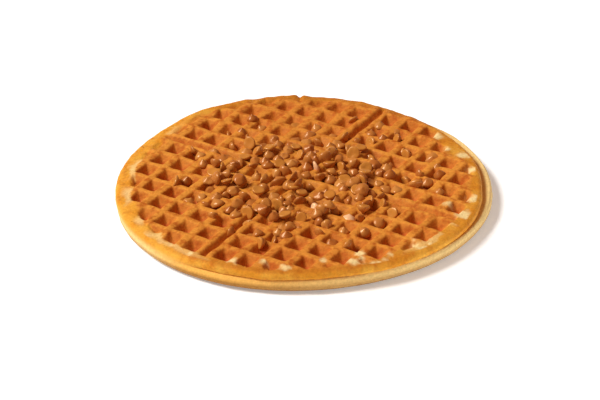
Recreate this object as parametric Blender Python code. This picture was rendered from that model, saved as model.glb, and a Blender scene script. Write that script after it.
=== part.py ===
"""Round waffle with square pits in four quarters, and small teardrop chips heaped over its middle.

Units are metres, +Z is up, the two crossed grooves run along X and Y, and the origin is at the
middle of the underside. The waffle and its chips are one solid, in the node "waffle".
"""

import math

import bmesh
import bpy
import numpy as np

MM = 0.001

# The two halves of the rim. Each outline is a circle with a few slow waves, because the batter
# spread unevenly: (waves round the rim, height of the wave, where its first top lies in degrees).
LIP_RADIUS = 89.9 * MM
LIP_CENTRE = (-0.6 * MM, 0.7 * MM)
LIP_WAVES = ((2, 0.5 * MM, -15), (3, 1.0 * MM, 11))
TOP_RADIUS = 88.1 * MM
TOP_CENTRE = (-1.8 * MM, -2.2 * MM)
TOP_WAVES = ((2, 1.5 * MM, -2), (3, 1.1 * MM, 14))
RIM_SEGMENTS = 72

# Heights
RIDGE_HEIGHT = 12.0 * MM
BORDER_DROP = 0.8 * MM
CREASE_HEIGHT = 7.3 * MM
LIP_BULGE_HEIGHT = 2.8 * MM

# Grid of pits
PITCH = 11.8 * MM
GRID_CENTRE = (-2.5 * MM, 1.7 * MM)
GROOVE_EDGE = 3.0 * MM
CREST_WIDTH = 2.1 * MM
PIT_ZONE_RADIUS = 81.5 * MM
PIT_ZONE_CENTRE = (0.2 * MM, -2.2 * MM)
TOP_PIT_DEPTH = 5.0 * MM
TOP_PIT_FLOOR = 0.14
TOP_GROOVE_DEPTH = 3.4 * MM
UNDER_ZONE_RADIUS = 79.5 * MM
UNDER_PIT_DEPTH = 3.6 * MM
UNDER_GROOVE_DEPTH = 2.6 * MM
SMALLEST_PIT_SHARE = 0.22
CUT_PAST_FACE = 0.4 * MM
ZONE_MARGIN = 0.6 * MM

# Chips
CHIP_RADIUS = 2.95 * MM
CHIP_HEIGHT = 4.8 * MM
CHIP_SIDES = 6
CHIP_COUNT = 216
CHIP_SEED = 11
HEAP_CENTRE = (2.0 * MM, -10.0 * MM)
HEAP_RADIUS = 44.0 * MM
CHIP_REACH = 72.0 * MM
SOLID_CHIPS = 150

WAFFLE_COLOUR = (0.62, 0.26, 0.06, 1.0)
WAFFLE_ROUGHNESS = 0.6


def clear_scene():
    for obj in list(bpy.data.objects):
        bpy.data.objects.remove(obj)


def object_from_bmesh(name, bm, collection=None):
    mesh = bpy.data.meshes.new(name)
    bm.to_mesh(mesh)
    bm.free()
    obj = bpy.data.objects.new(name, mesh)
    (collection or bpy.context.scene.collection).objects.link(obj)
    return obj


def ring(bm, radius, waves, centre, inset, height):
    """One level of the rim, as vertices, inset from its wavy outline."""
    verts = []
    for k in range(RIM_SEGMENTS):
        angle = 2 * math.pi * k / RIM_SEGMENTS
        reach = radius - inset
        for count, size, first in waves:
            reach += size * math.cos(count * (angle - math.radians(first)))
        x = centre[0] + reach * math.cos(angle)
        y = centre[1] + reach * math.sin(angle)
        verts.append(bm.verts.new((x, y, height)))
    return verts


def body():
    """The disc without its pits: a bulging lower lip, a crease, and an upper disc a little to one side."""
    bm = bmesh.new()
    lip = (LIP_RADIUS, LIP_WAVES, LIP_CENTRE)
    top = (TOP_RADIUS, TOP_WAVES, TOP_CENTRE)
    rings = [
        ring(bm, *lip, 2.6 * MM, 0.0),
        ring(bm, *lip, 0.8 * MM, 0.9 * MM),
        ring(bm, *lip, 0.0, LIP_BULGE_HEIGHT),
        ring(bm, *lip, 0.6 * MM, 4.9 * MM),
        ring(bm, *lip, 2.0 * MM, 6.5 * MM),
        ring(bm, *top, 1.2 * MM, CREASE_HEIGHT),
        ring(bm, *top, 0.1 * MM, 8.4 * MM),
        ring(bm, *top, 0.5 * MM, 9.8 * MM),
        ring(bm, *top, 2.6 * MM, RIDGE_HEIGHT - BORDER_DROP),
        ring(bm, PIT_ZONE_RADIUS + ZONE_MARGIN, (), PIT_ZONE_CENTRE, 0.0, RIDGE_HEIGHT),
    ]
    for low, high in zip(rings, rings[1:]):
        for k in range(RIM_SEGMENTS):
            after = (k + 1) % RIM_SEGMENTS
            bm.faces.new((low[k], low[after], high[after], high[k]))
    bm.faces.new(reversed(rings[0]))
    bm.faces.new(rings[-1])
    return object_from_bmesh("waffle", bm)


def pit_middles():
    """Middles of the pits along one axis, from the grid's own centre."""
    count = int((PIT_ZONE_RADIUS + 6 * MM) / PITCH) + 1
    steps = [GROOVE_EDGE + (k + 0.5) * PITCH for k in range(count)]
    return [-s for s in reversed(steps)] + steps


def clipped_to_zone(outline, radius, centre):
    """The part of a convex outline inside a circle."""
    sides = 48
    for k in range(sides):
        angle = 2 * math.pi * (k + 0.5) / sides
        normal = (math.cos(angle), math.sin(angle))
        limit = radius * math.cos(math.pi / sides)
        kept = []
        for a, b in zip(outline, outline[1:] + outline[:1]):
            a_over = (a[0] - centre[0]) * normal[0] + (a[1] - centre[1]) * normal[1] - limit
            b_over = (b[0] - centre[0]) * normal[0] + (b[1] - centre[1]) * normal[1] - limit
            if a_over <= 0:
                kept.append(a)
            if a_over * b_over < 0:
                t = a_over / (a_over - b_over)
                kept.append((a[0] + t * (b[0] - a[0]), a[1] + t * (b[1] - a[1])))
        outline = kept
        if len(outline) < 3:
            return []
    return outline


def area(outline):
    pairs = zip(outline, outline[1:] + outline[:1])
    return 0.5 * sum(a[0] * b[1] - b[0] * a[1] for a, b in pairs)


def pit_outlines(radius, centre):
    """Every pit's mouth, cut off where it meets the plain border, with its share of a whole pit."""
    half = (PITCH - CREST_WIDTH) / 2
    found = []
    for x in (GRID_CENTRE[0] + s for s in pit_middles()):
        for y in (GRID_CENTRE[1] + s for s in pit_middles()):
            square = [(x - half, y - half), (x + half, y - half), (x + half, y + half), (x - half, y + half)]
            mouth = clipped_to_zone(square, radius, centre)
            share = area(mouth) / (4 * half**2) if mouth else 0.0
            if share >= SMALLEST_PIT_SHARE:
                found.append((mouth, share))
    return found


def pit_cutter(collection, mouth, face_height, depth, floor_share):
    """A blunt pyramid that opens at face_height; a negative depth cuts upwards from below."""
    bm = bmesh.new()
    middle = np.mean(mouth, axis=0)
    spread = 1 + CUT_PAST_FACE / abs(depth) * (1 - floor_share)
    rim_height = face_height + math.copysign(CUT_PAST_FACE, depth)
    rim = [bm.verts.new((*(middle + (np.array(p) - middle) * spread), rim_height)) for p in mouth]
    if floor_share > 0:
        corners = [middle + (np.array(p) - middle) * floor_share for p in mouth]
        floor = [bm.verts.new((*p, face_height - depth)) for p in corners]
        bm.faces.new(floor)
    else:
        floor = [bm.verts.new((*middle, face_height - depth))] * len(rim)
    for k, vert in enumerate(rim):
        after = (k + 1) % len(rim)
        wall = (vert, rim[after], floor[after], floor[k])
        bm.faces.new(wall if floor_share > 0 else wall[:3])
    bm.faces.new(rim)
    bmesh.ops.recalc_face_normals(bm, faces=bm.faces)
    return object_from_bmesh("pit_cutter", bm, collection)


def groove_cutter(collection, axis, radius, centre, face_height, depth):
    """A V groove right across the pit zone, along X for axis 0 and along Y for axis 1."""
    bm = bmesh.new()
    across = 1 - axis
    half = (GROOVE_EDGE - CREST_WIDTH / 2) * (1 + CUT_PAST_FACE / abs(depth))
    rim_height = face_height + math.copysign(CUT_PAST_FACE, depth)
    section = [(-half, rim_height), (half, rim_height), (0.0, face_height - depth)]
    offset = GRID_CENTRE[across] - centre[across]
    reach = math.sqrt(radius**2 - offset**2)
    ends = []
    for end in (-reach, reach):
        points = []
        for aside, height in section:
            spot = [0.0, 0.0]
            spot[axis] = centre[axis] + end
            spot[across] = GRID_CENTRE[across] + aside
            points.append(bm.verts.new((*spot, height)))
        ends.append(points)
    for k in range(3):
        after = (k + 1) % 3
        bm.faces.new((ends[0][k], ends[0][after], ends[1][after], ends[1][k]))
    bm.faces.new(ends[0])
    bm.faces.new(ends[1])
    bmesh.ops.recalc_face_normals(bm, faces=bm.faces)
    return object_from_bmesh("groove_cutter", bm, collection)


def surface_height(x, y):
    """Height of the waffle's upper face at points given as arrays, with its pits and grooves."""
    half = (PITCH - CREST_WIDTH) / 2
    run = half * (1 - TOP_PIT_FLOOR)
    groove_half = GROOVE_EDGE - CREST_WIDTH / 2

    def pit_share(s):
        past = np.abs(s) - GROOVE_EDGE
        in_cell = np.mod(past, PITCH) - PITCH / 2
        return np.where(past > 0, np.clip((half - np.abs(in_cell)) / run, 0, 1), 0)

    gx, gy = x - GRID_CENTRE[0], y - GRID_CENTRE[1]
    depth = TOP_PIT_DEPTH * np.minimum(pit_share(gx), pit_share(gy))
    for s in (gx, gy):
        depth = np.maximum(depth, TOP_GROOVE_DEPTH * np.clip(1 - np.abs(s) / groove_half, 0, 1))
    inside = np.hypot(x - PIT_ZONE_CENTRE[0], y - PIT_ZONE_CENTRE[1]) < PIT_ZONE_RADIUS
    return RIDGE_HEIGHT - np.where(inside, depth, 0)


def chip_skin():
    """Points all over one chip that stands on its flat foot at the origin."""
    up = np.linspace(0, 1, 13)
    turns = 2 * math.pi * np.arange(18) / 18
    swell = np.cos(up * math.pi / 2) ** 0.8 * (1 - 0.28 * np.sin(up * math.pi))
    radius = np.concatenate([CHIP_RADIUS * swell, CHIP_RADIUS * np.array([0.7, 0.35])])
    height = np.concatenate([CHIP_HEIGHT * up, [0.0, 0.0]])
    x = np.outer(radius, np.cos(turns))
    y = np.outer(radius, np.sin(turns))
    z = np.repeat(height[:, None], len(turns), 1)
    return np.stack([x, y, z], -1).reshape(-1, 3)


def turned(tilt, lean, spin):
    """Rotation that spins a chip about its own axis, then tilts it towards the compass angle lean."""
    cs, ss = math.cos(spin), math.sin(spin)
    ct, st = math.cos(tilt), math.sin(tilt)
    cl, sl = math.cos(lean), math.sin(lean)
    own = np.array([[cs, -ss, 0], [ss, cs, 0], [0, 0, 1]])
    tip = np.array([[ct, 0, st], [0, 1, 0], [-st, 0, ct]])
    compass = np.array([[cl, -sl, 0], [sl, cl, 0], [0, 0, 1]])
    return compass @ tip @ compass.T @ own


def chip_sites(rng):
    """Where chips are dropped: thick over the middle, thinning out to single ones."""
    sites = []
    while len(sites) < CHIP_COUNT:
        x, y = rng.uniform(-CHIP_REACH, CHIP_REACH, 2)
        away = math.hypot(x - HEAP_CENTRE[0], y - HEAP_CENTRE[1])
        share = 1 / (1 + math.exp((away - HEAP_RADIUS) / (4 * MM))) + 0.11
        if math.hypot(x, y) > CHIP_REACH or rng.random() > share:
            continue
        gap = 4.4 * MM if away < HEAP_RADIUS else 6.2 * MM
        crowded = any((x - a) ** 2 + (y - b) ** 2 < gap**2 for a, b in sites)
        if not crowded or rng.random() < 0.02:
            sites.append((x, y))
    return sites


def chip_tilt(rng):
    """Chips stand on their foot, lie on their side or show their foot, in about equal numbers."""
    kind = rng.random()
    if kind < 0.4:
        return rng.uniform(0, 35)
    if kind < 0.75:
        return rng.uniform(60, 125)
    return rng.uniform(150, 180)


def settled_chips():
    """Each chip's rotation, place and size, lying as low as it can of a few ways it might fall."""
    rng = np.random.default_rng(CHIP_SEED)
    cell, reach = 0.4 * MM, 84 * MM
    axis = np.arange(-reach, reach + cell / 2, cell)
    gx, gy = np.meshgrid(axis, axis, indexing="ij")
    field = surface_height(gx, gy)
    skin = chip_skin()
    placed = []
    for x, y in chip_sites(rng):
        size = rng.uniform(0.86, 1.12)
        lowest = None
        for _ in range(24):
            tilt = math.radians(chip_tilt(rng))
            rotation = turned(tilt, rng.uniform(0, 2 * math.pi), rng.uniform(0, 2 * math.pi))
            spot = np.array([x, y]) + rng.uniform(-1.8 * MM, 1.8 * MM, 2)
            points = size * skin @ rotation.T
            ix = ((points[:, 0] + spot[0] + reach) / cell).round().astype(int)
            iy = ((points[:, 1] + spot[1] + reach) / cell).round().astype(int)
            rest = (field[ix, iy] - points[:, 2]).max()
            middle = rest + points[:, 2].mean()
            if lowest is None or middle < lowest[0]:
                lowest = (middle, rotation, spot, rest, points, ix, iy)
        _, rotation, spot, rest, points, ix, iy = lowest
        height = rest - rng.uniform(0.35, 0.9) * MM
        np.maximum.at(field, (ix, iy), points[:, 2] + height)
        placed.append((rotation, (spot[0], spot[1], height), size))
    return placed


def chip_solid(collection, rotation, place, size):
    """A low chip of the true outline: foot, shoulder and tip."""
    bm = bmesh.new()
    turns = [2 * math.pi * k / CHIP_SIDES for k in range(CHIP_SIDES)]

    def put(x, y, z):
        return bm.verts.new(size * (rotation @ np.array([x, y, z])) + np.array(place))

    def loop(radius, height):
        return [put(radius * math.cos(a), radius * math.sin(a), height) for a in turns]

    foot = loop(1.02 * CHIP_RADIUS, 0.0)
    shoulder = loop(0.82 * CHIP_RADIUS, 0.4 * CHIP_HEIGHT)
    tip = put(0.0, 0.0, CHIP_HEIGHT)
    bm.faces.new(reversed(foot))
    for k in range(CHIP_SIDES):
        after = (k + 1) % CHIP_SIDES
        bm.faces.new((foot[k], foot[after], shoulder[after], shoulder[k]))
        bm.faces.new((shoulder[k], shoulder[after], tip))
    return object_from_bmesh("chip", bm, collection)


def apply_boolean(target, collection, operation):
    modifier = target.modifiers.new(operation.lower(), "BOOLEAN")
    modifier.operand_type = "COLLECTION"
    modifier.collection = collection
    modifier.operation = operation
    modifier.solver = "EXACT"
    graph = bpy.context.evaluated_depsgraph_get()
    mesh = bpy.data.meshes.new_from_object(target.evaluated_get(graph))
    target.modifiers.clear()
    target.data = mesh
    for obj in list(collection.objects):
        bpy.data.objects.remove(obj)
    bpy.data.collections.remove(collection)


def linked_verts(start):
    stack, shell = [start], {start}
    while stack:
        for edge in stack.pop().link_edges:
            for vert in edge.verts:
                if vert not in shell:
                    shell.add(vert)
                    stack.append(vert)
    return shell


def keep_outer_shell(obj):
    """Fills any pocket sealed between chips, and drops a scrap that touches nothing."""
    bm = bmesh.new()
    bm.from_mesh(obj.data)
    bmesh.ops.remove_doubles(bm, verts=bm.verts, dist=0.002 * MM)
    bmesh.ops.dissolve_degenerate(bm, edges=bm.edges, dist=0.002 * MM)
    left, shells = set(bm.verts), []
    while left:
        shell = linked_verts(next(iter(left)))
        left -= shell
        shells.append(shell)
    outer = max(shells, key=len)
    bmesh.ops.delete(bm, geom=[v for v in bm.verts if v not in outer], context="VERTS")
    bm.to_mesh(obj.data)
    bm.free()


def finish(obj):
    material = bpy.data.materials.new("browned_batter")
    material.use_nodes = True
    shader = material.node_tree.nodes["Principled BSDF"]
    shader.inputs["Base Color"].default_value = WAFFLE_COLOUR
    shader.inputs["Roughness"].default_value = WAFFLE_ROUGHNESS
    shader.inputs["Metallic"].default_value = 0.0
    obj.data.materials.clear()
    obj.data.materials.append(material)


def new_collection(name):
    collection = bpy.data.collections.new(name)
    bpy.context.scene.collection.children.link(collection)
    return collection


def cut_grids(waffle):
    cutters = new_collection("cutters")
    for mouth, share in pit_outlines(PIT_ZONE_RADIUS, PIT_ZONE_CENTRE):
        pit_cutter(cutters, mouth, RIDGE_HEIGHT, TOP_PIT_DEPTH * share**0.5, TOP_PIT_FLOOR)
    for mouth, share in pit_outlines(UNDER_ZONE_RADIUS, LIP_CENTRE):
        pit_cutter(cutters, mouth, 0.0, -UNDER_PIT_DEPTH * share**0.5, 0.0)
    for axis in (0, 1):
        groove_cutter(cutters, axis, PIT_ZONE_RADIUS, PIT_ZONE_CENTRE, RIDGE_HEIGHT, TOP_GROOVE_DEPTH)
        groove_cutter(cutters, axis, UNDER_ZONE_RADIUS, LIP_CENTRE, 0.0, -UNDER_GROOVE_DEPTH)
    apply_boolean(waffle, cutters, "DIFFERENCE")


def add_chips(waffle):
    """Fuses the chips that lie on top; the lowest ones are hidden between them."""
    chips = new_collection("chips")
    highest_first = sorted(settled_chips(), key=lambda chip: -chip[1][2])
    for rotation, place, size in highest_first[:SOLID_CHIPS]:
        chip_solid(chips, rotation, place, size)
    apply_boolean(waffle, chips, "UNION")


def main():
    clear_scene()
    waffle = body()
    cut_grids(waffle)
    add_chips(waffle)
    keep_outer_shell(waffle)
    finish(waffle)


main()
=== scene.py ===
import itertools
import math
import bpy
import numpy as np
from mathutils import Matrix, Vector


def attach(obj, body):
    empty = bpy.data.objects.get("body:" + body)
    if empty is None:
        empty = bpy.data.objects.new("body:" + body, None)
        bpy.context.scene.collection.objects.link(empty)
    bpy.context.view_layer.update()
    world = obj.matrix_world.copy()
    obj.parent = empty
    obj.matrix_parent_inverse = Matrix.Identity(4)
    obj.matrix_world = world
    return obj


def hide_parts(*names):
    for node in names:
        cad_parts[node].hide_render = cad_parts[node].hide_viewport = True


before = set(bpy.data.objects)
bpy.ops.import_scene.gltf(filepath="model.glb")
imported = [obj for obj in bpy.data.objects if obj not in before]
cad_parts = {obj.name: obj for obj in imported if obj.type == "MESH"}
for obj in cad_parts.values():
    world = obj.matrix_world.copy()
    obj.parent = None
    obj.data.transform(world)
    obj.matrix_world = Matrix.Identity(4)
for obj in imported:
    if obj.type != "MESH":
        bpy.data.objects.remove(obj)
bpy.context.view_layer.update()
mm = 0.001


# Random fields and soft steps

def softNoise(points, width, seed):
    # soft bumps of one width, from -1 to 1
    size = 32
    table = np.random.default_rng(seed).uniform(-1, 1, (size, size, size))
    place = points / width
    low = np.floor(place).astype(int)
    f = place - low
    f = f * f * (3 - 2 * f)
    total = np.zeros(len(points))
    for corner in itertools.product((0, 1), repeat=3):
        i, j, k = ((low + corner) % size).T
        total += np.prod(np.where(corner, f, 1 - f), axis=1) * table[i, j, k]
    return total


def bumps(points, layers, shift=0):
    # bumps of several widths on top of each other
    return sum(height * softNoise(points, width, seed + shift) for height, width, seed in layers)


def smoothMin(a, b, k):
    return 0.5 * (a + b - np.sqrt((a - b) ** 2 + k * k))


def smoothStep(low, high, x):
    t = np.clip((x - low) / (high - low), 0, 1)
    return t * t * (3 - 2 * t)


# The waffle: sizes in mm, in the part's own frame; angles in degrees from +X.
# Waves: count, height, first crest. Trims: angle, what it adds. Bumps: height, width, seed.
# A pair of numbers after a name is mostly where something fades in, from none to all.
waffle = {
    # the outlines of the upper disc and of the lip below it
    "topRadius": 88.1, "topCentre": (-1.8, -2.2), "topWaves": ((2, 1.5, -2), (3, 1.1, 14)),
    "topTrim": (
        (-180, 0.7), (-150, 0.6), (-125, 0), (-92, -0.6), (-80, -0.8), (-66, 0), (-48, -0.8),
        (-30, 0.5), (5, -0.1), (14, -0.9), (26, -1.8), (36, -1.1), (47, -0.3), (63, -0.8),
        (85, 0), (150, 0.3), (180, 0.7),
    ),
    "lipRadius": 89.9, "lipCentre": (-0.6, 0.7), "lipWaves": ((2, 0.5, -15), (3, 1.0, 11)),
    "lipTrim": (
        (-180, 0.6), (-140, 0.5), (-115, 0), (-90, 0), (-64, -0.3), (-45, -0.7), (-30, -0.6), (0, 0),
        (150, 0.3), (180, 0.6),
    ),
    "creaseStart": (-101, -84), "creaseEnd": (80, 58),

    # ridges, pits and grooves
    "gridCentre": (-2.5, 1.7), "ridgeShift": (0.5, 0.0), "pitch": 11.8, "grooveEdge": 3.0,
    "ridgeHeight": 12.0, "crest": (2.1, 1.3), "crestSoftness": (0.6, 0.6), "wallSlope": (1.8, 1.4),
    "pitDepth": 5.2, "pitSpread": (0.93, 1.07), "cornerSoftness": 0.3, "floorSoftness": 0.7,
    "grooveDepth": 3.4, "grooveShape": (0.9, 0.6, 1.45), "grooveSoftness": 0.5,
    "gridWobble": ((0.3, 9.0, 50), (0.26, 3.2, 51)), "ridgeWidth": ((0.4, 6.0, 54),), "ridgeThinning": 0.1,
    "shallowPatch": (-32, 46, 52, 0.3),  # centre, reach, share of the depth that is lost

    # the edge of the grid and the plain border round it
    "zoneRadius": 81.5, "zoneCentre": (0.2, -2.2), "smallestPit": 0.22,
    "zoneTrim": (
        (42, 0), (49, -5.5), (58, -5.5), (66, -1.5), (74, 0), (116, 0), (130, 3.4), (158, 3.4), (172, 0),
    ),
    "zoneSlope": 2.2, "zoneOverhang": 0.6, "zoneSoftness": 0.3,
    "raggedEdge": ((1.3, 5.0, 8), (0.8, 2.0, 9)), "borderFade": (0.8, -0.5),
    "borderDrop": 0.5, "borderDropReach": (3.0, -1.5), "borderSlope": 0.2, "lipBorderSlope": 0.08,
    "uneven": ((0.22, 17.0, 1), (0.24, 5.0, 2), (0.16, 2.2, 3)), "unevenSink": 0.15,

    # the far side, with bumps and one nick: angle, depth, width
    "backStart": (85, 99), "backEnd": (172, 158), "backFlatness": 0.85,
    "backBumps": ((0.55, 7.5, 60), (0.22, 3.0, 61)), "backSink": 0.11, "backReach": (74, 84),
    "nick": (121.5, 1.5, 2.2), "nickReach": (78, 86),

    # browning with painted light and shade: the border is pale round the side the key lamp lights, browner
    # away from it as painted shade, and golden again round the side it leaves in shade as painted light
    "paleSide": -152, "paleReach": (35, 80), "goldenSide": 20, "goldenReach": (62, 30), "goldenShare": 0.7,
    # the lip's pale share covers the side the key lamp leaves in shade, and is partly pale batter and partly
    # painted light
    "lipPale": 0.85, "lipPaleStart": (-85, -25), "sideHigh": (9.5, 5.0), "sideLow": (0.0, 0.6),
    "wallPale": 0.7, "wallPaleStart": (-178, -150), "wallPaleEnd": (-92, -115),
    "wallGold": 0.9, "wallGoldStart": (1, 4), "wallGoldEnd": (10, 7),  # in rings down the side; keeping the upper wall less brown is painted light on a face the key lamp leaves in shade
    "paleLine": 0.6, "paleLineOuter": (-4.4, -2.6), "paleLineInner": (0.3, -0.4), "paleLineTurn": (160, 185),
    "paleLineBreaks": ((1.0, 9.0, 14),), "paleLineGap": (-0.4, 0.2),

    # spots where the batter took no colour: x, y, radius
    "paleSpots": (
        (13.2, -81.4, 1.5), (25.2, -74.6, 1.7), (36.3, -75.0, 1.9), (48.4, -60.8, 1.7), (60.2, -54.7, 1.9),
        (59.5, -48.3, 1.4), (62.3, -50.6, 1.2), (65.4, -52.0, 1.3), (68.4, -51.4, 1.3), (70.6, -49.4, 1.3),
        (71.4, -46.1, 1.5), (70.6, -41.4, 1.0), (75.1, -25.5, 1.3), (77.7, -28.1, 1.2), (80.3, -28.8, 1.3),
        (82.0, -27.0, 1.2), (82.2, -23.6, 1.3), (81.0, -20.0, 1.0), (73.3, 11.5, 2.2), (83.0, 7.3, 3.6),
        (77.5, 22.4, 1.8), (80.5, 22.5, 2.8), (66.0, 46.6, 2.3), (55.5, 57.0, 3.0), (44.9, 58.4, 1.9),
        (35.4, 68.4, 2.9), (-20.4, -82.8, 1.2), (-7.8, -85.4, 1.0),
    ),
    "spotEdge": 1.1, "spotWaves": ((1.3, 2.6, 12), (0.5, 1.1, 13)), "spotDrop": (2.8, 1.6),

    # down the side, ring by ring: share of the lip's outline, inset from the outline, height
    "creasedSide": (
        (0, 2.6, 11.2), (0, 1.8, 11.05), (0, 1.1, 10.7), (0, 0.55, 10.2), (0, 0.15, 9.6), (0, 0, 8.95),
        (0, 0.02, 8.3), (0, 0.1, 7.8), (0, 0.35, 7.4), (0.15, 0.85, 7.1), (0.45, 1.4, 6.95),
        (0.8, 1.85, 6.95), (1, 1.85, 7.1), (1, 1.35, 7.1), (1, 0.9, 6.8), (1, 0.5, 6.25),
        (1, 0.18, 5.55), (1, 0, 4.7), (1, 0.05, 3.85), (1, 0.3, 3.0), (1, 0.75, 2.2), (1, 1.35, 1.5),
        (1, 2.05, 0.9), (1, 2.85, 0.45), (1, 3.7, 0.15), (1, 4.6, 0.0),
    ),
    "plainSide": (  # has as many rings
        (0, 2.6, 11.0), (0, 1.95, 10.7), (0.02, 1.4, 10.35), (0.05, 1.0, 9.95), (0.1, 0.75, 9.55),
        (0.16, 0.55, 9.1), (0.23, 0.4, 8.65), (0.31, 0.3, 8.2), (0.4, 0.22, 7.75), (0.49, 0.16, 7.3),
        (0.58, 0.11, 6.85), (0.67, 0.07, 6.4), (0.76, 0.04, 6.0), (0.84, 0.02, 5.6), (0.9, 0.0, 5.2),
        (0.95, 0.0, 4.8), (0.98, 0.0, 4.4), (1, 0.0, 4.0), (1, 0.08, 3.5), (1, 0.25, 2.9), (1, 0.6, 2.2),
        (1, 1.1, 1.6), (1, 1.75, 1.0), (1, 2.55, 0.5), (1, 3.5, 0.15), (1, 4.6, 0.0),
    ),

    # the underside, with a shallower grid
    "underZone": 79.5, "underPitDepth": 3.6, "underGrooveDepth": 2.6, "underInset": 5.4,
    "underBorderFade": (2.0, -1.0), "underBrowned": 0.5, "topSeed": 5, "underSeed": 6,

    # nothing baked is quite straight: ridges wander, and the rim swells and pinches
    "wander": (0.3, 24.0, 20), "waver": (0.14, 8.0, 30), "wanderReach": (94, 70), "wanderPlace": 300,
    "swell": ((0.22, 15.0, 40), (0.16, 4.0, 41), (0.05, 1.3, 42)),
    "swellSink": 0.1, "swellStart": (0.2, 1.5),

    # where the mesh has its lines, from the middle of a ridge to the middle of a pit, and in the grooves
    "linesX": (0, 0.6, 1.15, 1.55, 1.95, 2.45, 3.3, 4.5, 5.9),
    "linesY": (0, 0.5, 0.9, 1.25, 1.6, 2.1, 3.0, 4.3, 5.9), "grooveLines": (0, 0.5, 1.0, 1.5, 2.0, 2.5, 3.0),
    "underLines": (0, 0.8, 1.6, 2.8, 4.3, 5.9), "underGrooveLines": (0, 1.0, 2.0, 3.0),
    "meshReach": 100, "edgeRoom": 0.35, "underRoom": 0.2,
}


def outline(name, angle):
    # distance from the centre of the upper disc ("top") or of the lip ("lip") to its outline
    radius = waffle[name + "Radius"]
    for count, size, first in waffle[name + "Waves"]:
        radius = radius + size * np.cos(count * (angle - math.radians(first)))
    return radius + np.interp(np.degrees(angle), *zip(*waffle[name + "Trim"]))


def creaseShare(angle):
    # 1 where the lip stands clear of the upper disc, 0 where one plain wall runs down
    turn = np.degrees(angle)
    return smoothStep(*waffle["creaseStart"], turn) * smoothStep(*waffle["creaseEnd"], turn)


def backShare(u, v):
    # the far side, where the border hardly falls
    turn = np.degrees(np.arctan2(v, u))
    return smoothStep(*waffle["backStart"], turn) * smoothStep(*waffle["backEnd"], turn)


def browningAndShadeShare(angle):
    # partly browning, partly painted light and shade: paler towards the key lamp, browner away from it,
    # golden again on the shaded far side
    def apart(side):
        return np.abs(np.mod(np.degrees(angle) - side + 180, 360) - 180)

    golden = waffle["goldenShare"] * smoothStep(*waffle["goldenReach"], apart(waffle["goldenSide"]))
    return smoothStep(*waffle["paleReach"], apart(waffle["paleSide"])) * (1 - golden)


def gridLines(cellSteps, grooveSteps):
    # where the mesh has lines along one axis: close together on the ridges, wider on the walls
    cell = list(cellSteps) + [waffle["pitch"] - s for s in reversed(cellSteps[:-1])]
    lines = list(grooveSteps)
    start = waffle["grooveEdge"]
    while start < waffle["meshReach"]:
        lines += [start + s for s in cell[1:]]
        start += waffle["pitch"]
    return np.array([-s for s in reversed(lines[1:])] + lines)


def ridgeFall(away, crest, soft, slope):
    # how far the surface has dropped at a distance from the middle of a ridge
    def fall(t):
        return 0.5 * (t + np.sqrt(t * t + soft * soft))

    return slope * (fall(away - crest) - fall(-crest))


def insideZone(x, y, zone):
    # distance inside the edge of the grid, which is only roughly round
    radius, centre, trim = zone
    u, v = x - centre[0], y - centre[1]
    return radius + np.interp(np.degrees(np.arctan2(v, u)), *zip(*trim)) - np.hypot(u, v)


def cellStart(i):
    edge, pitch = waffle["grooveEdge"], waffle["pitch"]
    return edge + i * pitch if i >= 0 else -edge + i * pitch


def cellIndex(s):
    outward = np.floor((np.abs(s) - waffle["grooveEdge"]) / waffle["pitch"]).astype(int)
    return np.where(s >= 0, outward, -1 - outward)


def pitDepths(zone, seed):
    # each pit's own depth, less where the edge cuts it; a cell that is nearly all border stays plain
    rng = np.random.default_rng(seed)
    reach, samples = 8, 6
    table = np.zeros((2 * reach, 2 * reach))
    steps = (np.arange(samples) + 0.5) / samples * waffle["pitch"]
    a, b = np.meshgrid(steps, steps)
    for i, j in itertools.product(range(-reach, reach), repeat=2):
        own = rng.uniform(*waffle["pitSpread"])
        x = cellStart(i) + a + waffle["gridCentre"][0]
        y = cellStart(j) + b + waffle["gridCentre"][1]
        share = np.mean(insideZone(x, y, zone) > 0)
        if share >= waffle["smallestPit"]:
            table[i + reach, j + reach] = own * math.sqrt(share)
    return table, reach


def surfaceDrop(x, y, pitDepth, grooveDepth, zone, seed):
    # depth below the ridges and distance inside the grid's edge
    edge, pitch = waffle["grooveEdge"], waffle["pitch"]
    flat = np.stack([x, y, 0 * x], 1)
    u, v = (
        s - waffle["gridCentre"][axis] - waffle["ridgeShift"][axis]
        + bumps(flat, waffle["gridWobble"], seed + 2 * axis)
        for axis, s in enumerate((x, y))
    )
    table, reach = pitDepths(zone, seed)
    i, j = (np.clip(cellIndex(s) + reach, 0, 2 * reach - 1) for s in (u, v))
    patchX, patchY, patchReach, loss = waffle["shallowPatch"]
    patch = smoothStep(patchReach, 0.5 * patchReach, np.hypot(x - patchX, y - patchY))
    own = table[i, j] * (1 - loss * patch)
    width = bumps(flat, waffle["ridgeWidth"], seed) + waffle["ridgeThinning"]
    falls = []
    for axis, s in enumerate((u, v)):
        past = np.mod(np.abs(s) - edge, pitch)
        shape = (waffle[name][axis] for name in ("crest", "crestSoftness", "wallSlope"))
        falls.append(ridgeFall(np.minimum(past, pitch - past) + width, *shape))
    drop = smoothMin(*falls, waffle["cornerSoftness"])
    drop = smoothMin(drop, pitDepth, waffle["floorSoftness"]) * own
    inCell = (np.abs(u) > edge) & (np.abs(v) > edge)
    drop = np.where(inCell, np.maximum(drop, 0), 0)
    for s in (u, v):
        groove = ridgeFall(edge - np.abs(s), *waffle["grooveShape"])
        groove = smoothMin(groove, grooveDepth, waffle["grooveSoftness"])
        drop = np.maximum(drop, np.where(np.abs(s) < edge, np.maximum(groove, 0), 0))
    toEdge = insideZone(x, y, zone)
    rise = waffle["zoneSlope"] * np.maximum(toEdge + waffle["zoneOverhang"], 0)
    return np.maximum(smoothMin(drop, rise, waffle["zoneSoftness"]), 0), toEdge


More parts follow.
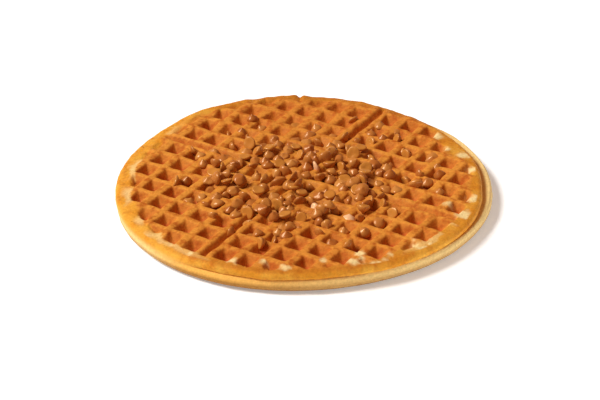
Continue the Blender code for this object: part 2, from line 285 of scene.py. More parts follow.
def insideOutline(name, inset):
    def test(x, y):
        u, v = x - waffle[name + "Centre"][0], y - waffle[name + "Centre"][1]
        return np.hypot(u, v) < outline(name, np.arctan2(v, u)) - inset

    return test


def clippedGrid(linesX, linesY, inside):
    # the squares of a grid whose corners are all inside, and the ring of points round them in order
    gx, gy = np.meshgrid(linesX, linesY, indexing="ij")
    keep = inside(gx + waffle["gridCentre"][0], gy + waffle["gridCentre"][1])
    quad = keep[:-1, :-1] & keep[1:, :-1] & keep[1:, 1:] & keep[:-1, 1:]
    qi, qj = np.nonzero(quad)
    index = np.arange(gx.size).reshape(gx.shape)
    corners = np.stack([index[qi, qj], index[qi + 1, qj], index[qi + 1, qj + 1], index[qi, qj + 1]], 1)
    # the diagonals that point to the middle of each pit keep its corners crisp
    towards = []
    for s in ((linesX[qi] + linesX[qi + 1]) / 2, (linesY[qj] + linesY[qj + 1]) / 2):
        past = np.mod(np.abs(s) - waffle["grooveEdge"], waffle["pitch"])
        towards.append(np.sign(s) * np.sign(waffle["pitch"] / 2 - past))
    turn = towards[0] * towards[1] < 0
    corners[turn] = np.roll(corners[turn], 1, axis=1)
    edges = np.concatenate([corners[:, [k, (k + 1) % 4]] for k in range(4)])
    seen = set(map(tuple, edges))
    after = {a: b for a, b in seen if (b, a) not in seen}
    start = next(iter(after))
    loop = [start]
    while after[loop[-1]] != start:
        loop.append(after[loop[-1]])
    used, compact = np.unique(corners, return_inverse=True)
    where = {old: new for new, old in enumerate(used)}
    place = np.stack([gx.ravel()[used], gy.ravel()[used]], 1) + waffle["gridCentre"] + waffle["ridgeShift"]
    return place, compact.reshape(-1, 4), [where[k] for k in loop]


def split(quads):
    return np.concatenate([quads[:, [0, 1, 2]], quads[:, [0, 2, 3]]])


def zipped(loopA, anglesA, loopB, anglesB):
    # triangles between two rings with different numbers of points, both in order of angle
    a0, b0 = int(np.argmin(anglesA)), int(np.argmin(anglesB))
    ringA, ringB = np.roll(loopA, -a0), np.roll(loopB, -b0)
    turnA = np.append(np.roll(anglesA, -a0), anglesA.min() + 2 * math.pi)
    turnB = np.append(np.roll(anglesB, -b0), anglesB.min() + 2 * math.pi)
    triangles, a, b = [], 0, 0
    while a < len(ringA) or b < len(ringB):
        here = (ringA[a % len(ringA)], ringB[b % len(ringB)])
        if b >= len(ringB) or (a < len(ringA) and turnA[a + 1] <= turnB[b + 1]):
            a += 1
            triangles.append((here[0], ringA[a % len(ringA)], here[1]))
        else:
            b += 1
            triangles.append((here[0], ringB[b % len(ringB)], here[1]))
    return np.array(triangles)


def anglesRound(loop, centre):
    # angles round a loop, without the small steps back that the grid's corners make
    angle = np.arctan2(loop[:, 1] - centre[1], loop[:, 0] - centre[0])
    turn = 2 * math.pi * np.arange(len(angle)) / len(angle)
    rest = np.unwrap(angle) - turn
    blur = 12
    rest = sum(np.roll(rest, k) for k in range(-blur, blur + 1)) / (2 * blur + 1)
    return np.mod(rest + turn + math.pi, 2 * math.pi) - math.pi


def ringPoints(angle, share, inset):
    # one level of the rim, between the upper disc's outline and the lip's
    reach = (1 - share) * outline("top", angle) + share * outline("lip", angle) - inset
    x, y = ((1 - share) * a + share * b for a, b in zip(waffle["topCentre"], waffle["lipCentre"]))
    return np.stack([x + reach * np.cos(angle), y + reach * np.sin(angle)], 1)


def backDents(u, v, flat):
    turn, away = np.degrees(np.arctan2(v, u)), np.hypot(u, v)
    bumpy = bumps(flat, waffle["backBumps"]) - waffle["backSink"]
    bumpy = bumpy * backShare(u, v) * smoothStep(*waffle["backReach"], away)
    angle, deep, wide = waffle["nick"]
    sideways = np.radians(turn - angle) * away
    return deep * np.exp(-((sideways / (wide / 2)) ** 2)) * smoothStep(*waffle["nickReach"], away) - bumpy


def creamShare(x, y, turn, drop, ragged, browningAndShade):
    # spots, and a broken line along the inner edge of the pale border
    flat = np.stack([x, y, 0 * x], 1)
    wavy = bumps(flat, waffle["spotWaves"])
    edge = waffle["spotEdge"]
    spots = 0 * x
    for spotX, spotY, size in waffle["paleSpots"]:
        away = np.hypot(x - spotX, y - spotY) + wavy
        spots = np.maximum(spots, smoothStep(size + edge, size - edge, away))
    line = smoothStep(*waffle["paleLineOuter"], ragged) * smoothStep(*waffle["paleLineInner"], ragged)
    line = line * (1 - browningAndShade) * smoothStep(*waffle["paleLineGap"], bumps(flat, waffle["paleLineBreaks"]))
    line = line * smoothStep(*waffle["paleLineTurn"], np.mod(turn, 360))
    return np.minimum(np.maximum(spots * smoothStep(*waffle["spotDrop"], drop), waffle["paleLine"] * line), 1)


def topSurface(place):
    # heights of the upper face, with its colour data, browning mixed with painted light and shade
    x, y = place.T
    flat = np.stack([x, y, 0 * x], 1)
    zone = (waffle["zoneRadius"], waffle["zoneCentre"], waffle["zoneTrim"])
    drop, toEdge = surfaceDrop(x, y, waffle["pitDepth"], waffle["grooveDepth"], zone, waffle["topSeed"])
    ragged = toEdge + bumps(flat, waffle["raggedEdge"])
    border = smoothStep(*waffle["borderFade"], ragged)
    u, v = x - waffle["topCentre"][0], y - waffle["topCentre"][1]
    angle = np.arctan2(v, u)
    crease = creaseShare(angle)
    slope = waffle["borderSlope"] * (1 - crease) + waffle["lipBorderSlope"] * crease
    fall = waffle["borderDrop"] * smoothStep(*waffle["borderDropReach"], toEdge)
    fall = fall + slope * np.maximum(-toEdge, 0)
    fall = fall * (1 - waffle["backFlatness"] * backShare(u, v))
    uneven = bumps(flat, waffle["uneven"]) - waffle["unevenSink"]
    z = waffle["ridgeHeight"] - fall - drop + uneven - backDents(u, v, flat)
    browningAndShade = browningAndShadeShare(angle)
    cream = creamShare(x, y, np.degrees(angle), drop, ragged, browningAndShade)
    return z, drop / waffle["pitDepth"], border, cream, browningAndShade


def rimRing(level, angle, above):
    # one ring of the rim with its colour data, browning mixed with painted light and shade; above is how far
    # the upper face misses the first ring
    crease, turn = creaseShare(angle), np.degrees(angle)
    creased, plain = (
        np.column_stack([ringPoints(angle, share, inset), np.full(len(angle), height)])
        for share, inset, height in (waffle["creasedSide"][level], waffle["plainSide"][level])
    )
    ring = plain + (creased - plain) * crease[:, None]
    ring[:, 2] += above * (1 - level / len(waffle["creasedSide"])) ** 2
    plainShare = (1 - crease) * smoothStep(*waffle["sideHigh"], ring[:, 2])
    side = crease * waffle["creasedSide"][level][0] + plainShare
    side = side * smoothStep(*waffle["sideLow"], ring[:, 2])
    # paler round the lip's front and right, where the key lamp leaves it in shade: partly pale batter, partly
    # painted light
    pale = waffle["lipPale"] * smoothStep(*waffle["lipPaleStart"], turn) * crease
    wall = smoothStep(*waffle["wallPaleStart"], turn) * smoothStep(*waffle["wallPaleEnd"], turn)
    pale = (pale + waffle["wallPale"] * wall) * side
    # the upper wall is less brown: painted light where the key lamp leaves the wall in shade
    gold = smoothStep(*waffle["wallGoldStart"], level) * smoothStep(*waffle["wallGoldEnd"], level)
    browningAndShade = browningAndShadeShare(angle) * (1 - waffle["wallGold"] * gold)
    return ring, np.column_stack([0 * side, 1 + 0 * side, pale, side, browningAndShade])


def addWaffle():
    inset = waffle["creasedSide"][0][1]
    lines = (gridLines(waffle[name], waffle["grooveLines"]) for name in ("linesX", "linesY"))
    top, topFaces, topLoop = clippedGrid(*lines, insideOutline("top", inset + waffle["edgeRoom"]))
    angle = anglesRound(top[topLoop], waffle["topCentre"])
    top[topLoop] = ringPoints(angle, 0, inset)
    z, depth, border, cream, browningAndShade = topSurface(top)
    points = [np.column_stack([top, z])]
    data = [np.column_stack([depth, border, cream, 0 * z, browningAndShade])]
    faces = [split(topFaces)]

    creasedTop, plainTop = waffle["creasedSide"][0][2], waffle["plainSide"][0][2]
    above = z[topLoop] - (plainTop + (creasedTop - plainTop) * creaseShare(angle))
    count, last = len(top), np.array(topLoop)
    after = np.roll(np.arange(len(last)), -1)
    for level in range(1, len(waffle["creasedSide"])):
        ring, ringData = rimRing(level, angle, above)
        here = count + np.arange(len(ring))
        points.append(ring)
        data.append(ringData)
        faces.append(split(np.stack([last, here, here[after], last[after]], 1)))
        last, count = here, count + len(ring)

    # underside
    inset, centre = waffle["underInset"], waffle["lipCentre"]
    coarse = gridLines(waffle["underLines"], waffle["underGrooveLines"])
    inside = insideOutline("lip", inset + waffle["underRoom"])
    under, underFaces, underLoop = clippedGrid(coarse, coarse, inside)
    underAngle = anglesRound(under[underLoop], centre)
    under[underLoop] = ringPoints(underAngle, 1, inset)
    zone = (waffle["underZone"], centre, ((0, 0),))
    pitDepth, grooveDepth = waffle["underPitDepth"], waffle["underGrooveDepth"]
    rise, toEdge = surfaceDrop(*under.T, pitDepth, grooveDepth, zone, waffle["underSeed"])
    border, none = smoothStep(*waffle["underBorderFade"], toEdge), 0 * rise
    points.append(np.column_stack([under, rise]))
    depth, browningAndShade = rise / waffle["pitDepth"], waffle["underBrowned"] + none
    data.append(np.column_stack([depth, border, none, none, browningAndShade]))
    faces.append(split(underFaces)[:, ::-1] + count)
    faces.append(zipped(last, angle, np.array(underLoop) + count, underAngle)[:, ::-1])

    piece = meshPiece("waffleBody", bent(np.concatenate(points)), np.concatenate(faces))
    for name, column in zip(("depth", "border", "cream", "side", "browningAndShade"), np.concatenate(data).T):
        addData(piece, name, column)
    return piece


def bent(points):
    flat = points * (1, 1, 0)
    inner = smoothStep(*waffle["wanderReach"], np.hypot(points[:, 0], points[:, 1]))
    for axis in (0, 1):
        wander = bumps(flat + waffle["wanderPlace"], (waffle["wander"],), axis)
        points[:, axis] += (wander + bumps(flat, (waffle["waver"],), axis)) * inner
    out = points[:, :2] / np.maximum(np.hypot(points[:, 0], points[:, 1]), 1)[:, None]
    rim = (1 - inner) * smoothStep(*waffle["swellStart"], points[:, 2])
    swell = (bumps(points, waffle["swell"]) - waffle["swellSink"]) * rim
    points[:, :2] += out * swell[:, None]
    return points


def meshPiece(name, points, triangles):
    mesh = bpy.data.meshes.new(name)
    mesh.vertices.add(len(points))
    mesh.vertices.foreach_set("co", (points * mm).astype(np.float32).ravel())
    mesh.loops.add(triangles.size)
    mesh.loops.foreach_set("vertex_index", triangles.astype(np.int32).ravel())
    mesh.polygons.add(len(triangles))
    mesh.polygons.foreach_set("loop_start", np.arange(0, triangles.size, 3, dtype=np.int32))
    mesh.update(calc_edges=True)
    mesh.validate()
    mesh.shade_smooth()
    piece = bpy.data.objects.new(name, mesh)
    bpy.context.scene.collection.objects.link(piece)
    return piece


def addData(piece, name, values):
    # a number at each point of the mesh, which the material reads
    attribute = piece.data.attributes.new(name, "FLOAT", "POINT")
    attribute.data.foreach_set("value", values.astype(np.float32))


# The chips: sizes in mm, tilts in degrees from tip up
chips = {
    "radius": 2.95, "height": 4.8, "sizes": (0.84, 1.1), "count": 224, "seed": 11, "shapeSeed": 77,
    "heapCentre": (0.5, -5.0), "heapRadius": 44.0, "heapFade": 4.0, "strayShare": 0.11, "reach": 67.0,
    "gap": 4.2, "strayGap": 6.2, "touching": 0.02,
    "tilts": ((0.5, (0, 38)), (0.87, (55, 125)), (1.0, (150, 180))),  # tip up, on its side, foot up
    "tries": 12, "nudge": 1.8, "sunk": (0.5, 2.4), "sunkStray": (1.3, 2.7), "sunkSoft": 0.6,
    "restDepth": 5.0, "restRidge": 2.1, "restFloor": 0.14, "restCell": 0.4, "restReach": 84,
    "skinLevels": 13, "skinSides": 18, "skinFullness": 0.8, "skinWaist": 0.28, "skinFoot": (0.7, 0.35),
    "shyness": 4.0, "frontward": (0.47, -0.73, 0.5), "seenFrom": 0.25,
    "lightward": (-0.58, -0.34, 0.74), "litFrom": 0.35,
    # a chip's own shape, and what softness adds to it
    "sides": 20, "melted": 0.5, "firmness": (0, 0.3), "softness": (0.35, 1),
    "squat": (0.68, 0.98), "sag": 0.3, "bulge": 0.22, "oval": (0.06, 0.08), "bend": 0.9, "bendPower": 2.2,
    "lumps": (0.14, 0.26), "lumpWidth": 1.9, "lumpSeed": 50, "lumpPlaces": 90, "lumpShares": (1, 1, 0.7),
    "tones": 0.8, "pale": ((18.5, -23.1), (43.9, -23.7), (2.0, 11.9)), "footFade": (0.6, 0.15),
    # from the middle of the foot to the tip: share of the radius, share of the height
    "profile": (
        (0.0, 0.035), (0.35, 0.02), (0.7, 0.0), (0.88, 0.01), (0.965, 0.045), (1.0, 0.12), (0.985, 0.22),
        (0.93, 0.33), (0.83, 0.45), (0.68, 0.57), (0.49, 0.69), (0.31, 0.8), (0.18, 0.89), (0.1, 0.955),
        (0.0, 1.0),
    ),
}


def plainHeight(x, y):
    # the waffle's upper face without its small unevenness, which the chips come to rest on
    edge, pitch = waffle["grooveEdge"], waffle["pitch"]
    half = (pitch - chips["restRidge"]) / 2
    run = half * (1 - chips["restFloor"])
    grooveHalf = edge - chips["restRidge"] / 2

    def pitShare(s):
        inCell = np.mod(np.abs(s) - edge, pitch) - pitch / 2
        return np.where(np.abs(s) > edge, np.clip((half - np.abs(inCell)) / run, 0, 1), 0)

    u, v = x - waffle["gridCentre"][0], y - waffle["gridCentre"][1]
    depth = chips["restDepth"] * np.minimum(pitShare(u), pitShare(v))
    for s in (u, v):
        depth = np.maximum(depth, waffle["grooveDepth"] * np.clip(1 - np.abs(s) / grooveHalf, 0, 1))
    inside = np.hypot(x - waffle["zoneCentre"][0], y - waffle["zoneCentre"][1]) < waffle["zoneRadius"]
    return waffle["ridgeHeight"] - np.where(inside, depth, 0)


def chipSkin():
    # points all over a plain chip, which find the height at which it comes to rest
    up = np.linspace(0, 1, chips["skinLevels"])
    turns = 2 * math.pi * np.arange(chips["skinSides"]) / chips["skinSides"]
    waist = 1 - chips["skinWaist"] * np.sin(up * math.pi)
    swell = np.cos(up * math.pi / 2) ** chips["skinFullness"] * waist
    foot = np.array(chips["skinFoot"])
    radius = chips["radius"] * np.concatenate([swell, foot])
    height = chips["height"] * np.concatenate([up, 0 * foot])
    x, y = np.outer(radius, np.cos(turns)), np.outer(radius, np.sin(turns))
    return np.stack([x, y, np.repeat(height[:, None], len(turns), 1)], -1).reshape(-1, 3)


def turned(tilt, lean, spin):
    spinTurn = np.array(Matrix.Rotation(spin, 3, "Z"))
    tiltTurn = np.array(Matrix.Rotation(tilt, 3, "Y"))
    leanTurn = np.array(Matrix.Rotation(lean, 3, "Z"))
    return leanTurn @ tiltTurn @ leanTurn.T @ spinTurn


def fromHeap(x, y):
    return math.hypot(x - chips["heapCentre"][0], y - chips["heapCentre"][1])


def chipSites(rng):
    # close together in the heap, few and further apart outside it
    sites = []
    reach = chips["reach"]
    while len(sites) < chips["count"]:
        x, y = rng.uniform(-reach, reach, 2)
        away = fromHeap(x, y)
        share = 1 / (1 + math.exp((away - chips["heapRadius"]) / chips["heapFade"])) + chips["strayShare"]
        if math.hypot(x, y) > reach or rng.random() > share:
            continue
        gap = chips["gap"] if away < chips["heapRadius"] else chips["strayGap"]
        crowded = any((x - a) ** 2 + (y - b) ** 2 < gap**2 for a, b in sites)
        if not crowded or rng.random() < chips["touching"]:
            sites.append((x, y))
    return sites


def chipTilts(rng):
    kind = rng.random()
    return next(tilts for share, tilts in chips["tilts"] if kind < share)


def shyness(foot):
    # a foot that faces the front lies in the light too, and not in shade
    seen = foot @ chips["frontward"] > chips["seenFrom"]
    lit = foot @ chips["lightward"] >= chips["litFrom"]
    return chips["shyness"] if seen and not lit else 0.0


def settledChips():
    # each chip is tried in several ways, and stays where it lies lowest
    rng = np.random.default_rng(chips["seed"])
    cell, reach, nudge = chips["restCell"], chips["restReach"], chips["nudge"]
    axis = np.arange(-reach, reach + cell / 2, cell)
    field = plainHeight(*np.meshgrid(axis, axis, indexing="ij"))
    skin = chipSkin()
    placed = []
    for x, y in chipSites(rng):
        size = rng.uniform(*chips["sizes"])
        tilts = chipTilts(rng)
        lowest = None
        for _ in range(chips["tries"]):
            tilt = math.radians(rng.uniform(*tilts))
            rotation = turned(tilt, rng.uniform(0, 2 * math.pi), rng.uniform(0, 2 * math.pi))
            spot = np.array([x, y]) + rng.uniform(-nudge, nudge, 2)
            points = size * skin @ rotation.T
            ix, iy = (((points[:, k] + spot[k] + reach) / cell).round().astype(int) for k in (0, 1))
            rest = (field[ix, iy] - points[:, 2]).max()
            middle = rest + points[:, 2].mean() + shyness(-rotation[:, 2])
            if lowest is None or middle < lowest[0]:
                lowest = (middle, rotation, spot, rest, points, ix, iy)
        _, rotation, spot, rest, points, ix, iy = lowest
        stray = fromHeap(x, y) > chips["heapRadius"]
        height = rest - rng.uniform(*chips["sunkStray" if stray else "sunk"])
        np.maximum.at(field, (ix, iy), points[:, 2] + height)
        placed.append((rotation, np.array([*spot, height]), size))
    return placed


def oneChip(rng):
    # squat or tall, its tip bent over, its foot not quite round, many gone soft in the heat
    sides, profile, tall = chips["sides"], chips["profile"], chips["height"]
    soft = rng.uniform(*(chips["softness"] if rng.random() < chips["melted"] else chips["firmness"]))
    squat = rng.uniform(*chips["squat"]) * (1 - chips["sag"] * soft)
    lean, bend = rng.uniform(0, 2 * math.pi), rng.uniform(0, chips["bend"])
    plain, more = chips["oval"]
    oval, ovalTurn = rng.uniform(0, plain + more * soft), rng.uniform(0, math.pi)
    turns = 2 * math.pi * np.arange(sides) / sides
    points = [[0, 0, profile[0][1] * tall]]
    for share, rise in profile[1:-1]:
        share = share + soft * chips["bulge"] * math.sin(math.pi * rise)
        radius = share * chips["radius"] * (1 + oval * np.cos(2 * (turns - ovalTurn)))
        aside = bend * rise ** chips["bendPower"]
        x = radius * np.cos(turns) + aside * math.cos(lean)
        y = radius * np.sin(turns) + aside * math.sin(lean)
        points += list(np.column_stack([x, y, np.full(sides, rise * tall * squat)]))
    points.append([bend * math.cos(lean), bend * math.sin(lean), tall * squat])
    points = np.array(points)
    place = rng.uniform(0, chips["lumpPlaces"], 3)
    lump = softNoise(points + place, chips["lumpWidth"], chips["lumpSeed"])
    plain, more = chips["lumps"]
    points += (plain + more * soft) * lump[:, None] * chips["lumpShares"]
    return points, soft


def chipFaces():
    sides, rings = chips["sides"], len(chips["profile"]) - 2
    here = np.arange(sides)
    after = (here + 1) % sides
    faces = [np.stack([0 * here, 1 + after, 1 + here], 1)]
    for level in range(rings - 1):
        low, high = 1 + level * sides, 1 + (level + 1) * sides
        faces.append(split(np.stack([low + here, low + after, high + after, high + here], 1)))
    low, tip = 1 + (rings - 1) * sides, 1 + rings * sides
    faces.append(np.stack([low + here, low + after, 0 * here + tip], 1))
    return np.concatenate(faces)


def addChips():
    rng = np.random.default_rng(chips["shapeSeed"])
    placed = settledChips()
    spots = np.array([place[:2] for _, place, _ in placed])
    pale = {int(np.hypot(*(spots - spot).T).argmin()) for spot in chips["pale"]}
    faces = chipFaces()
    allPoints, allFaces, tones, feet = [], [], [], []
    count = 0
    for k, (rotation, place, size) in enumerate(placed):
        shape, soft = oneChip(rng)
        points = size * shape @ rotation.T + place - (0, 0, chips["sunkSoft"] * soft)
        allPoints.append(points)
        allFaces.append(faces + count)
        tones.append(np.full(len(points), 1.0 if k in pale else chips["tones"] * rng.random()))
        feet.append(smoothStep(*chips["footFade"], shape[:, 2]))
        count += len(points)
    piece = meshPiece("peanutButterChips", np.concatenate(allPoints), np.concatenate(allFaces))
    addData(piece, "tone", np.concatenate(tones))
    addData(piece, "foot", np.concatenate(feet))
    return piece


# Materials

def addNode(tree, kind, values=None, **settings):
    node = tree.nodes.new("ShaderNode" + kind)
    for key, value in settings.items():
        setattr(node, key, value)
    for key, value in (values or {}).items():
        socket = node.inputs[key]
        if isinstance(value, bpy.types.NodeSocket):
            tree.links.new(value, socket)
        else:
            socket.default_value = value
    return node


def linear(*colour):
    # a colour as it looks on screen, 0 to 255, turned into light
    return tuple(((c / 255 + 0.055) / 1.055) ** 2.4 for c in colour) + (1.0,)


def spread(tree, value, low, high, start=0.0, end=1.0):
    return addNode(tree, "MapRange", {0: value, 1: low, 2: high, 3: start, 4: end}).outputs[0]


def times(tree, a, b):
    return addNode(tree, "Math", {0: a, 1: b}, operation="MULTIPLY").outputs[0]


def mixed(tree, factor, a, b, blend="MIX"):
    node = addNode(tree, "Mix", {0: factor, 6: a, 7: b}, data_type="RGBA", blend_type=blend)
    return node.outputs[2]


def rampOf(tree, factor, stops):
    node = addNode(tree, "ValToRGB", {0: factor})
    ramp = node.color_ramp
    while len(ramp.elements) < len(stops):
        ramp.elements.new(0.5)
    for element, (place, colour) in zip(ramp.elements, stops):
        element.position = place
        element.color = colour
    return node.outputs[0]


def meshData(tree, name):
    return addNode(tree, "Attribute", attribute_name=name).outputs["Fac"]


def mottleGroup():
    # patches and specks, each material with its own sizes
    group = bpy.data.node_groups.new("mottle", "ShaderNodeTree")
    for name, value in (("Patch Size", 90.0), ("Speck Size", 600.0)):
        socket = group.interface.new_socket(name, in_out="INPUT", socket_type="NodeSocketFloat")
        socket.default_value = value
    for name in ("Patches", "Specks", "Height"):
        group.interface.new_socket(name, in_out="OUTPUT", socket_type="NodeSocketFloat")
    given = group.nodes.new("NodeGroupInput")
    made = group.nodes.new("NodeGroupOutput")
    place = addNode(group, "TexCoord").outputs["Object"]
    patches, specks = (
        addNode(group, "TexNoise", {"Vector": place, "Scale": size, "Detail": detail, "Roughness": rough})
        for size, detail, rough in ((given.outputs[0], 3.0, 0.55), (given.outputs[1], 2.0, 0.6))
    )
    group.links.new(patches.outputs["Fac"], made.inputs["Patches"])
    group.links.new(specks.outputs["Fac"], made.inputs["Specks"])
    both = addNode(group, "Math", {0: patches.outputs["Fac"], 1: specks.outputs["Fac"]}, operation="ADD")
    group.links.new(both.outputs[0], made.inputs["Height"])
    return group


def placeMottle(tree, group, sizes):
    node = tree.nodes.new("ShaderNodeGroup")
    node.node_tree = group
    node.inputs["Patch Size"].default_value, node.inputs["Speck Size"].default_value = sizes
    return node


def newMaterial(name):
    material = bpy.data.materials.new(name)
    material.use_nodes = True
    tree = material.node_tree
    return material, tree, tree.nodes["Principled BSDF"]


def setGloss(tree, shader, look, mottle):
    # the shine, and the fine bumps of the mottle
    shader.inputs["Specular IOR Level"].default_value = look["shine"]
    shader.inputs["Specular Tint"].default_value = look["shineColour"]
    strength, deep = look["bump"]
    bump = addNode(tree, "Bump", {"Strength": strength, "Distance": deep, "Height": mottle.outputs["Height"]})
    tree.links.new(bump.outputs[0], shader.inputs["Normal"])


# Distances in a material are in metres. Four numbers after a name: what goes in, and what comes out.
batter = {
    # by depth, the light crest is partly painted highlight and the dark red pit partly painted shade
    "crest": linear(220, 147, 57), "ridge": linear(204, 126, 46), "wall": linear(199, 117, 43),
    "pit": linear(198, 76, 36), "brownAndShade": linear(176, 84, 24), "greased": linear(196, 130, 50),
    "border": linear(220, 147, 42), "borderPale": linear(230, 173, 66), "borderBrownAndShade": linear(186, 112, 33),
    # the lip by height: the dark foot is painted shadow where it meets the floor, the light top painted light
    # from above
    "lipTopLit": linear(240, 182, 88), "lipLow": linear(176, 124, 54), "lipFootShadow": linear(112, 60, 22),
    "paleTopLit": linear(238, 214, 146), "paleLow": linear(202, 166, 104), "paleFootShadow": linear(140, 92, 48),
    "speckle": linear(150, 92, 36), "cream": linear(238, 214, 150),
    "depthStops": (0.02, 0.12, 0.6, 0.98), "sideStops": (0.06, 0.28, 0.5, 0.76), "sideHeight": 0.0072,
    "fineMottle": (260.0, 900.0), "broadMottle": (80.0, 420.0), "grain": (0.3, 0.7, 0.87, 1.1),
    "brownPatches": (0.46, 0.66, 0.0, 0.8), "edgePatches": (0.5, 0.75, 0.0, 0.5),
    "palePatches": (0.4, 0.65), "gridBrowningAndShade": (0, 1, 0, 0.2), "edgeBrowningAndShade": (0, 1, 0, 0.8),
    "specks": (0.5, 0.62), "speckHeight": (0.004, 0.0005, 0.0, 0.9),
    "greasedReach": (0.025, 0.055, 0.4, 0.0), "oilyReach": (0.035, 0.07, 0.45, 0.62),  # roughness
    "shine": 0.14, "shineColour": linear(255, 214, 160), "bump": (0.5, 0.0005),
}


def batterMaterial(mottle):
    material, tree, shader = newMaterial("bakedBatter")
    fine = placeMottle(tree, mottle, batter["fineMottle"])
    broad = placeMottle(tree, mottle, batter["broadMottle"])
    names = ("depth", "border", "cream", "side", "browningAndShade")
    depth, border, cream, side, browningAndShade = (meshData(tree, name) for name in names)
    place = addNode(tree, "TexCoord").outputs["Object"]
    height = addNode(tree, "SeparateXYZ", {0: place}).outputs[2]
    away = addNode(tree, "VectorMath", {0: place}, operation="LENGTH").outputs["Value"]

    def heights(factor, places, colours):
        return rampOf(tree, factor, tuple(zip(places, (batter[name] for name in colours))))

    # the grid: lighter on the crests and darker, redder down the pits, partly browning and partly painted
    # highlight and shade; browner in patches, browner away from the key lamp as painted shade, and greasy
    # round the heap
    grid = heights(depth, batter["depthStops"], ("crest", "ridge", "wall", "pit"))
    patches = spread(tree, fine.outputs["Patches"], *batter["brownPatches"])
    grid = mixed(tree, patches, grid, batter["brownAndShade"])
    grid = mixed(tree, spread(tree, browningAndShade, *batter["gridBrowningAndShade"]), grid, batter["brownAndShade"])
    grid = mixed(tree, spread(tree, away, *batter["greasedReach"]), grid, batter["greased"])

    # the border, browner away from the key lamp: partly browning, partly painted shade
    pale = spread(tree, broad.outputs["Patches"], *batter["palePatches"])
    edge = mixed(tree, pale, batter["border"], batter["borderPale"])
    edge = mixed(tree, spread(tree, browningAndShade, *batter["edgeBrowningAndShade"]), edge, batter["borderBrownAndShade"])
    patches = spread(tree, fine.outputs["Patches"], *batter["edgePatches"])
    edge = mixed(tree, patches, edge, batter["brownAndShade"])

    # the side, darkened at its foot as painted shadow and lightened at its top as painted light, with specks
    # low down
    level = spread(tree, height, 0.0, batter["sideHeight"])
    golden = heights(level, batter["sideStops"], ("lipFootShadow", "lipLow", "lipLow", "lipTopLit"))
    paler = heights(level, batter["sideStops"], ("paleFootShadow", "paleLow", "paleLow", "paleTopLit"))
    lip = mixed(tree, cream, golden, paler)
    low = spread(tree, height, *batter["speckHeight"])
    specks = spread(tree, broad.outputs["Specks"], *batter["specks"])
    lip = mixed(tree, times(tree, specks, low), lip, batter["speckle"])

    colour = mixed(tree, border, grid, edge)
    colour = mixed(tree, cream, colour, batter["cream"])
    colour = mixed(tree, side, colour, lip)
    grain = spread(tree, fine.outputs["Specks"], *batter["grain"])
    grey = addNode(tree, "CombineColor", {0: grain, 1: grain, 2: grain}).outputs[0]
    tree.links.new(mixed(tree, 1.0, colour, grey, "MULTIPLY"), shader.inputs["Base Color"])
    tree.links.new(spread(tree, away, *batter["oilyReach"]), shader.inputs["Roughness"])
    setGloss(tree, shader, batter, fine)
    return material


chipLook = {
    "dark": linear(172, 98, 38), "light": linear(200, 134, 62), "pale": linear(236, 186, 136),
    "foot": linear(198, 130, 50), "footTones": (0.85, 0.95, 0.8, 0.0), "toneStops": (0.0, 0.8, 1.0),
    "roughness": 0.28, "shine": 0.5, "shineColour": linear(255, 222, 180),
    "mottle": (260.0, 900.0), "bump": (0.2, 0.0003),
}


def chipMaterial(mottle):
    material, tree, shader = newMaterial("peanutButterChip")
    tone = meshData(tree, "tone")
    stops = tuple(zip(chipLook["toneStops"], (chipLook[name] for name in ("dark", "light", "pale"))))
    foot = times(tree, meshData(tree, "foot"), spread(tree, tone, *chipLook["footTones"]))
    colour = mixed(tree, foot, rampOf(tree, tone, stops), chipLook["foot"])
    tree.links.new(colour, shader.inputs["Base Color"])
    shader.inputs["Roughness"].default_value = chipLook["roughness"]
    setGloss(tree, shader, chipLook, placeMottle(tree, mottle, chipLook["mottle"]))
    return material


# Floor, light and camera, in metres and degrees
studio = {
    "floor": (0.97, 1.0, 1.0, 1.0), "floorRoughness": 0.7, "floorHalf": 6.0, "floorHeight": -0.0002,
    "floorGlow": 0.27, "glowColour": (0.82, 0.97, 1.0, 1.0),
    "sky": 0.3, "skyColour": (1.0, 0.53, 0.37, 1.0),
    "key": 3.52, "keyTurn": -92.0, "keyElevation": 48.0, "keyWidth": 24.0,
    "strip": 0.027, "stripTurn": 50.0, "stripAway": 0.137, "stripLength": 0.24, "stripTall": 0.016,
    "stripLift": 0.001,
}
camera = {
    "azimuth": 32.83, "elevation": 29.86, "roll": -1.665, "distance": 1.068,
    "aim": (0.0050, -0.0116, 0.006), "lens": 134.6, "sensor": 36,
}


def addFloor():
    mesh = bpy.data.meshes.new("floor")
    half, low = studio["floorHalf"], studio["floorHeight"]
    corners = [(-half, -half, low), (half, -half, low), (half, half, low), (-half, half, low)]
    mesh.from_pydata(corners, [], [(0, 1, 2, 3)])
    floor = bpy.data.objects.new("floor", mesh)
    bpy.context.scene.collection.objects.link(floor)
    material, _, shader = newMaterial("paleFloor")
    shader.inputs["Base Color"].default_value = studio["floor"]
    shader.inputs["Roughness"].default_value = studio["floorRoughness"]
    shader.inputs["Emission Color"].default_value = studio["glowColour"]
    shader.inputs["Emission Strength"].default_value = studio["floorGlow"]
    mesh.materials.append(material)


def backwards(azimuth, elevation):
    # the direction from the object to a camera or a light
    a, e = math.radians(azimuth), math.radians(elevation)
    return Vector((math.sin(a) * math.cos(e), -math.cos(a) * math.cos(e), math.sin(e)))


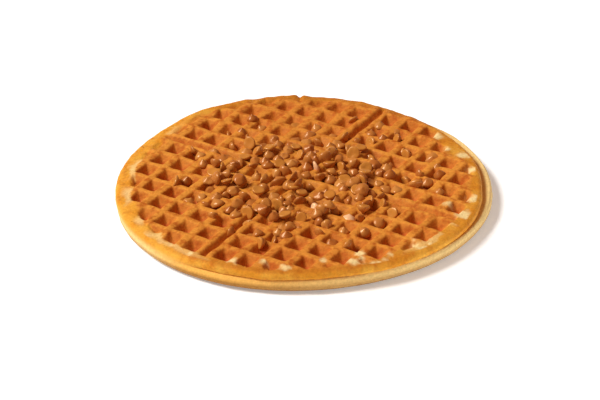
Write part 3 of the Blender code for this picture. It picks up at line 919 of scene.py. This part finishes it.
def placeLight(light, place, back):
    lamp = bpy.data.objects.new(light.name, light)
    lamp.location = place
    lamp.rotation_euler = back.to_track_quat("Z", "Y").to_euler()
    bpy.context.scene.collection.objects.link(lamp)
    return lamp


def addKey():
    # a wide soft sun, turned round from the camera
    light = bpy.data.lights.new("key", "SUN")
    light.angle = math.radians(studio["keyWidth"])
    light.energy = studio["key"]
    back = backwards(camera["azimuth"] + studio["keyTurn"], studio["keyElevation"])
    placeLight(light, back, back)


def addStrip():
    # a long low light that reaches the side of the waffle, but hardly its face
    light = bpy.data.lights.new("strip", "AREA")
    light.shape = "RECTANGLE"
    light.size, light.size_y = studio["stripLength"], studio["stripTall"]
    light.energy = studio["strip"]
    back = backwards(camera["azimuth"] + studio["stripTurn"], 0) * studio["stripAway"]
    lift = Vector((0, 0, studio["stripTall"] / 2 + studio["stripLift"]))
    placeLight(light, back + lift, back).visible_camera = False


def addWorld():
    world = bpy.data.worlds.new("studio")
    bpy.context.scene.world = world
    world.use_nodes = True
    background = world.node_tree.nodes["Background"]
    background.inputs["Color"].default_value = studio["skyColour"]
    background.inputs["Strength"].default_value = studio["sky"]
    bpy.context.scene.view_settings.view_transform = "Standard"


def addCamera():
    data = bpy.data.cameras.new("camera")
    data.lens, data.sensor_width = camera["lens"], camera["sensor"]
    shot = bpy.data.objects.new("camera", data)
    back = backwards(camera["azimuth"], camera["elevation"])
    turn = back.to_track_quat("Z", "Y").to_matrix() @ Matrix.Rotation(math.radians(camera["roll"]), 3, "Z")
    place = Vector(camera["aim"]) + back * camera["distance"]
    shot.matrix_world = Matrix.Translation(place) @ turn.to_4x4()
    bpy.context.scene.collection.objects.link(shot)
    bpy.context.scene.camera = shot


addCamera()
mottle = mottleGroup()
body = addWaffle()
body.data.materials.append(batterMaterial(mottle))
print("waffle body", len(body.data.polygons), "triangles")
heap = addChips()
heap.data.materials.append(chipMaterial(mottle))
print("chips", len(heap.data.polygons), "triangles")

for piece, slot in ((body, "waffle"), (heap, "chips")):
    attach(piece, "root")
    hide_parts("waffle")

addFloor()
addKey()
addStrip()
addWorld()
print("stage and lights")
